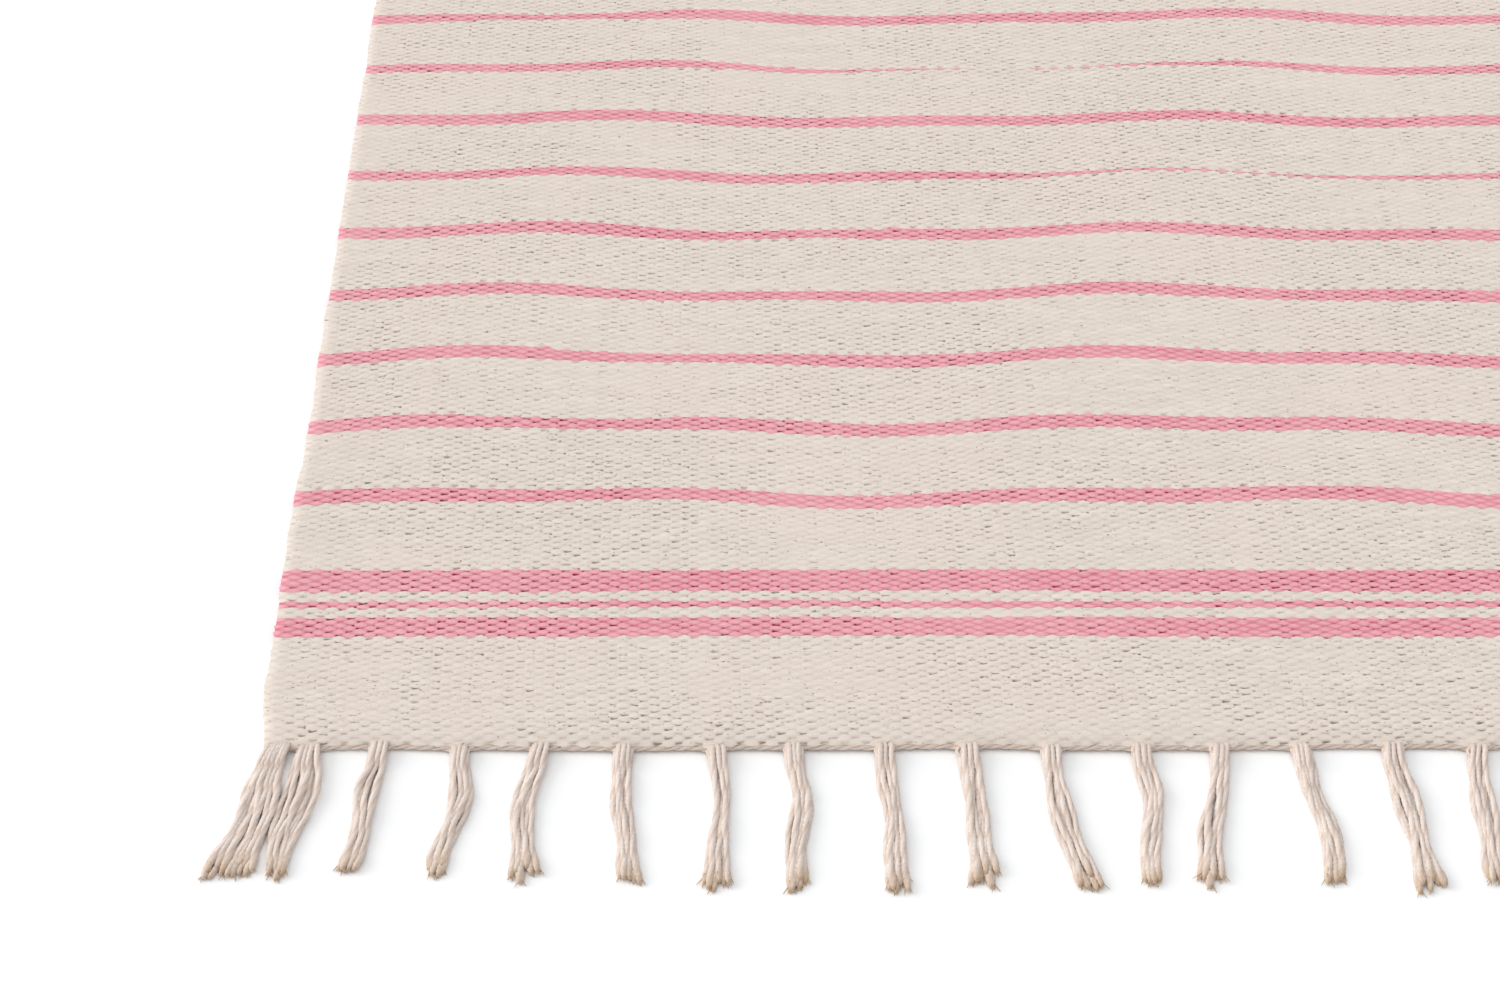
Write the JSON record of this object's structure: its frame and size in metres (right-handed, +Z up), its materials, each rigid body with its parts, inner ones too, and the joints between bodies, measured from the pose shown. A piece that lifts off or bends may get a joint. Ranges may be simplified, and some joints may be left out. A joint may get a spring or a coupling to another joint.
{
  "type": "runner rug",
  "caption": "Flat-woven cotton runner rug in cream with thin wandering pink weft stripes, a banded border at each end and an unknotted warp fringe.",
  "frame": {"origin": "on the floor at the middle of the rug, under the centre of its underside", "axes": "+X across the width, +Y along the length towards the far fringe, +Z up out of the pile-less face"},
  "size_m": [0.7762, 2.1792, 0.006],
  "materials": {
    "cream_cotton_weft": "undyed spun cotton weft packed down hard, matte, slightly slubby, with flecks of seed husk",
    "pink_cotton_weft": "dyed spun cotton weft in rose pink, matte, deeper in the hollows of the weave",
    "natural_cotton_cord": "plied natural cotton cord, matte",
    "natural_cotton_fringe": "loose plied natural cotton yarns, matte, browner where the cut tips are brushed out"
  },
  "bodies": {
    "root": {"warp_threads": "natural_cotton_cord", "selvedge_cord_left": "natural_cotton_cord", "selvedge_cord_right": "natural_cotton_cord", "ground_panels": "cream_cotton_weft", "broad_stripes": "pink_cotton_weft", "fine_stripes": "pink_cotton_weft", "near_edge_twining": "natural_cotton_cord", "near_end_border": "cream_cotton_weft", "near_outer_band": "pink_cotton_weft", "near_thin_band": "pink_cotton_weft", "near_inner_band": "pink_cotton_weft", "near_band_gaps": "cream_cotton_weft", "far_edge_twining": "natural_cotton_cord", "far_end_border": "cream_cotton_weft", "far_outer_band": "pink_cotton_weft", "far_thin_band": "pink_cotton_weft", "far_inner_band": "pink_cotton_weft", "far_band_gaps": "cream_cotton_weft", "near_tassel_01": "natural_cotton_fringe", "near_tassel_02": "natural_cotton_fringe", "near_tassel_03": "natural_cotton_fringe", "near_tassel_04": "natural_cotton_fringe", "near_tassel_05": "natural_cotton_fringe", "near_tassel_06": "natural_cotton_fringe", "near_tassel_07": "natural_cotton_fringe", "near_tassel_08": "natural_cotton_fringe", "near_tassel_09": "natural_cotton_fringe", "near_tassel_10": "natural_cotton_fringe", "near_tassel_11": "natural_cotton_fringe", "near_tassel_12": "natural_cotton_fringe", "near_tassel_13": "natural_cotton_fringe", "near_tassel_14": "natural_cotton_fringe", "near_tassel_15": "natural_cotton_fringe", "near_tassel_16": "natural_cotton_fringe", "near_tassel_17": "natural_cotton_fringe", "near_tassel_18": "natural_cotton_fringe", "near_tassel_19": "natural_cotton_fringe", "near_tassel_20": "natural_cotton_fringe", "near_tassel_21": "natural_cotton_fringe", "far_tassel_01": "natural_cotton_fringe", "far_tassel_02": "natural_cotton_fringe", "far_tassel_03": "natural_cotton_fringe", "far_tassel_04": "natural_cotton_fringe", "far_tassel_05": "natural_cotton_fringe", "far_tassel_06": "natural_cotton_fringe", "far_tassel_07": "natural_cotton_fringe", "far_tassel_08": "natural_cotton_fringe", "far_tassel_09": "natural_cotton_fringe", "far_tassel_10": "natural_cotton_fringe", "far_tassel_11": "natural_cotton_fringe", "far_tassel_12": "natural_cotton_fringe", "far_tassel_13": "natural_cotton_fringe", "far_tassel_14": "natural_cotton_fringe", "far_tassel_15": "natural_cotton_fringe", "far_tassel_16": "natural_cotton_fringe", "far_tassel_17": "natural_cotton_fringe", "far_tassel_18": "natural_cotton_fringe", "far_tassel_19": "natural_cotton_fringe", "far_tassel_20": "natural_cotton_fringe", "far_tassel_21": "natural_cotton_fringe"}
  },
  "joints": []
}
